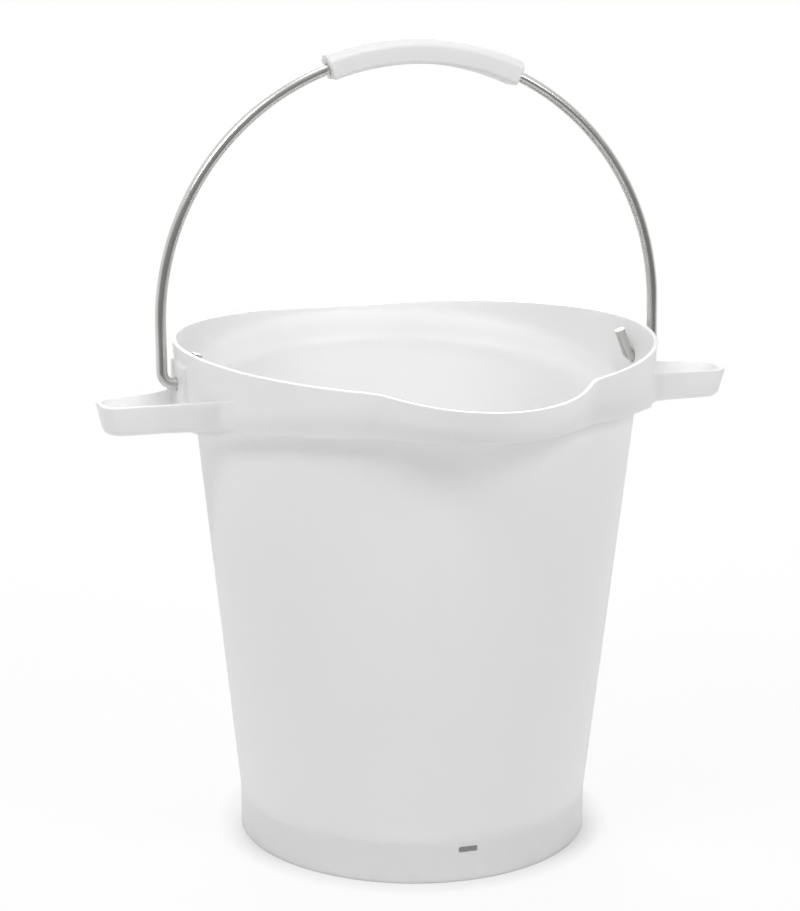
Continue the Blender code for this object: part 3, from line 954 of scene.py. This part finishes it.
def ray_shares(tree):
    """Light Path's camera, glossy and transmission rays as Fields."""
    path = tree.nodes.new("ShaderNodeLightPath")
    return [Field(tree, path.outputs[f"Is {kind} Ray"]) for kind in ("Camera", "Glossy", "Transmission")]


def split(tree, vector):
    """X, Y and Z of a vector as Fields."""
    made = add_node(tree, "ShaderNodeSeparateXYZ", Vector=vector)
    return [Field(tree, socket) for socket in made.outputs]


def add_floor():
    """White paper on a dark studio floor: it glows white where it is seen and keeps a soft shadow.

    The paper ends in front of the bucket, so polished metal also shows the dark floor beyond. Under the
    foot it glows little.
    """
    mesh = bmesh.new()
    bmesh.ops.create_grid(mesh, x_segments=1, y_segments=1, size=FLOOR_HALF)
    floor = add_object("floor", mesh)
    made, tree, shader = new_finish("studio_floor")
    shader.inputs["Roughness"].default_value = PAPER_ROUGHNESS
    where = tree.nodes.new("ShaderNodeTexCoord").outputs["Object"]
    x, y, _ = split(tree, where)
    from_axis = root(x * x + (y - AXIS_Y) * (y - AXIS_Y))
    paper = spread(tree, y, 0.0, 1.0, -PAPER_FRONT - PAPER_FADE, -PAPER_FRONT)
    plug(tree, blend_colour(tree, paper, grey(ROOM_TONE), grey(PAPER_TONE)), shader.inputs["Base Color"])
    foot = PLAIN.foot_radius
    near = spread(tree, from_axis, UNDER_GLOW, SHADOW_GLOW, foot, foot + SHADOW_EDGE)
    far = spread(tree, from_axis, 0.0, 1 - SHADOW_GLOW, *FULL_GLOW)
    camera, glossy, transmission = ray_shares(tree)
    share = camera.math("MAXIMUM", transmission).math("MAXIMUM", glossy * paper) * (near + far)
    glow = add_node(tree, "ShaderNodeEmission", Strength=1.0)
    mix = tree.nodes.new("ShaderNodeMixShader")
    plug(tree, share, mix.inputs[0])
    plug(tree, shader.outputs[0], mix.inputs[1])
    plug(tree, glow.outputs[0], mix.inputs[2])
    plug(tree, mix.outputs[0], tree.nodes["Material Output"].inputs[0])
    floor.data.materials.append(made)


def add_world(strength):
    """Studio surround: white where it is seen, even where it lights, a dim room in front in reflections."""
    world = bpy.data.worlds.new("studio_surround")
    world.use_nodes = True
    bpy.context.scene.world = world
    tree = world.node_tree
    _, y, z = split(tree, tree.nodes.new("ShaderNodeTexCoord").outputs["Generated"])
    front = spread(tree, y, 1.0, 0.0, *ROOM_FRONT)
    low = spread(tree, z, 1.0, 0.0, *ROOM_TOP)
    mirrored = 1.0 - front * low * (1 - ROOM_TONE)
    camera, glossy, transmission = ray_shares(tree)
    seen = camera.math("MAXIMUM", transmission)
    unseen = 1.0 - seen
    ground = tree.nodes["Background"]
    ground.inputs["Color"].default_value = (1, 1, 1, 1)
    plug(tree, seen + unseen * (glossy * (mirrored - strength) + strength), ground.inputs["Strength"])


def add_softbox(name, place, aim, side, power):
    """Square softbox that points at a spot."""
    data = bpy.data.lights.new(name, "AREA")
    data.shape = "SQUARE"
    data.size = side
    data.energy = power
    made = bpy.data.objects.new(name, data)
    bpy.context.scene.collection.objects.link(made)
    look = (Vector(aim) - Vector(place)).to_track_quat("-Z", "Y")
    made.matrix_world = Matrix.Translation(place) @ look.to_matrix().to_4x4()


add_camera()
add_floor()
add_world(SURROUND_LIGHT)
for softbox in SOFTBOXES:
    add_softbox(*softbox)
bpy.context.scene.view_settings.view_transform = "Standard"

moulded_white = satin_white("satin_polypropylene", MOULDING_ROUGHNESS)
grip_white = satin_white("satin_grip_plastic", GRIP_ROUGHNESS)
steel = drawn_steel()

bucket = bucket_moulding(moulded_white)
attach(bucket, "bucket")
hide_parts("bucket_shell")

wire = bail_wire(steel)
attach(wire, "bail")
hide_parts("bail_wire")

grip = bail_grip(grip_white)
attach(grip, "bail")
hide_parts("bail_grip")
